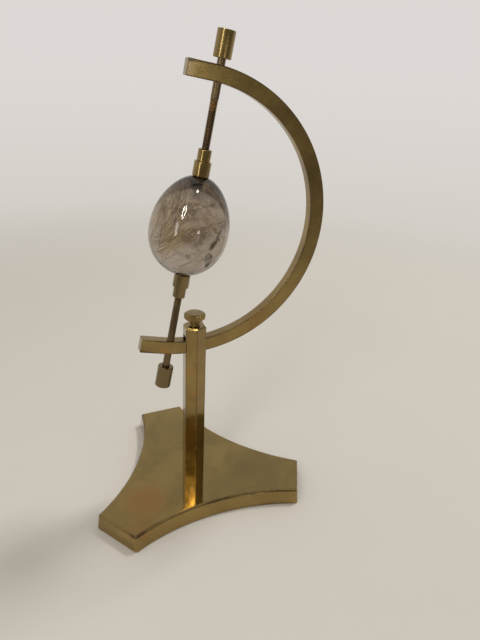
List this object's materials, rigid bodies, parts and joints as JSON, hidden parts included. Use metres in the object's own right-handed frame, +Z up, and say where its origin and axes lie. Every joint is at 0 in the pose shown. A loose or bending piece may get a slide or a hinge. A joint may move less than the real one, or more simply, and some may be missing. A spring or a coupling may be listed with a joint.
{
  "type": "mineral display stand",
  "caption": "Brass three-armed stand whose hexagonal post clamps a tilting C-shaped meridian arc; two screw spindles hold a spinning rutilated quartz egg in cups.",
  "frame": {"origin": "underside of the base plate, on the axis of the post", "axes": "+Z up along the post; the meridian arc lies in the XZ plane and bulges towards +X; -Y is the front"},
  "size_m": [0.1249, 0.1121, 0.2413],
  "materials": {
    "polished_brass": "satin-polished brass with a light brown tarnish",
    "turned_brass": "lathe-turned brass, lightly tarnished",
    "aged_brass": "dull brown, fine screw thread",
    "spring_steel": "plain bright steel",
    "nylon": "natural nylon",
    "leather": "thin dark leather",
    "quartz": "polished smoky quartz with golden needles"
  },
  "bodies": {
    "stand": {"base_plate": "polished_brass", "post": "polished_brass"},
    "arc": {"meridian_arc": "polished_brass"},
    "clamp_carriage": {"clamp_pad": "nylon"},
    "thumb_screw": {"clamp_screw": "turned_brass"},
    "upper_carriage": {"upper_thrust_disc": "spring_steel"},
    "upper_spindle": {"upper_rod": "aged_brass", "upper_knob": "turned_brass", "upper_rod_clip": "spring_steel"},
    "upper_holder": {"upper_cup": "turned_brass", "upper_bush": "turned_brass", "upper_cup_pad": "leather"},
    "lower_carriage": {"lower_thrust_disc": "spring_steel"},
    "lower_spindle": {"lower_rod": "aged_brass", "lower_knob": "turned_brass", "lower_rod_clip": "spring_steel"},
    "egg_holder": {"quartz_egg": "quartz", "lower_cup": "turned_brass", "lower_bush": "turned_brass", "lower_cup_pad": "leather"}
  },
  "joints": [
    {"name": "arc_tilt", "type": "hinge", "parent": "stand", "child": "arc", "pos_m": [-0.00444, 0, 0.157], "axis": [0, 1, 0], "range_deg": [-3, 150]},
    {"name": "clamp_lift", "type": "slide", "parent": "stand", "child": "clamp_carriage", "axis": [0, 0, 1], "range_m": [0, 0.002]},
    {"name": "clamp_turn", "type": "hinge", "parent": "clamp_carriage", "child": "thumb_screw", "pos_m": [0, 0, 0.1], "axis": [0, 0, 1], "range_deg": [0, 720]},
    {"name": "upper_travel", "type": "slide", "parent": "arc", "child": "upper_carriage", "axis": [0.1728, 0, 0.985], "range_m": [0, 0.028]},
    {"name": "upper_turn", "type": "hinge", "parent": "upper_carriage", "child": "upper_spindle", "pos_m": [0.00862, 0, 0.2161], "axis": [0.1728, 0, 0.985], "range_deg": [0, 14400]},
    {"name": "upper_cup_spin", "type": "hinge", "parent": "upper_carriage", "child": "upper_holder", "pos_m": [0.00257, 0, 0.18162], "axis": [0.1728, 0, 0.985], "continuous": true},
    {"name": "lower_travel", "type": "slide", "parent": "arc", "child": "lower_carriage", "axis": [-0.1728, 0, -0.985], "range_m": [0, 0.0196]},
    {"name": "lower_turn", "type": "hinge", "parent": "lower_carriage", "child": "lower_spindle", "pos_m": [-0.01212, 0, 0.0979], "axis": [-0.1728, 0, -0.985], "range_deg": [0, 10080]},
    {"name": "egg_spin", "type": "hinge", "parent": "lower_carriage", "child": "egg_holder", "pos_m": [-0.00175, 0, 0.157], "axis": [0.1728, 0, 0.985], "continuous": true}
  ],
  "couplings": [
    {"joint": "clamp_lift", "follows": "clamp_turn", "m_per_rad": 0.00015915},
    {"joint": "upper_travel", "follows": "upper_turn", "m_per_rad": 0.00011141},
    {"joint": "lower_travel", "follows": "lower_turn", "m_per_rad": 0.00011141},
    {"joint": "upper_cup_spin", "follows": "egg_spin", "ratio": 1}
  ]
}
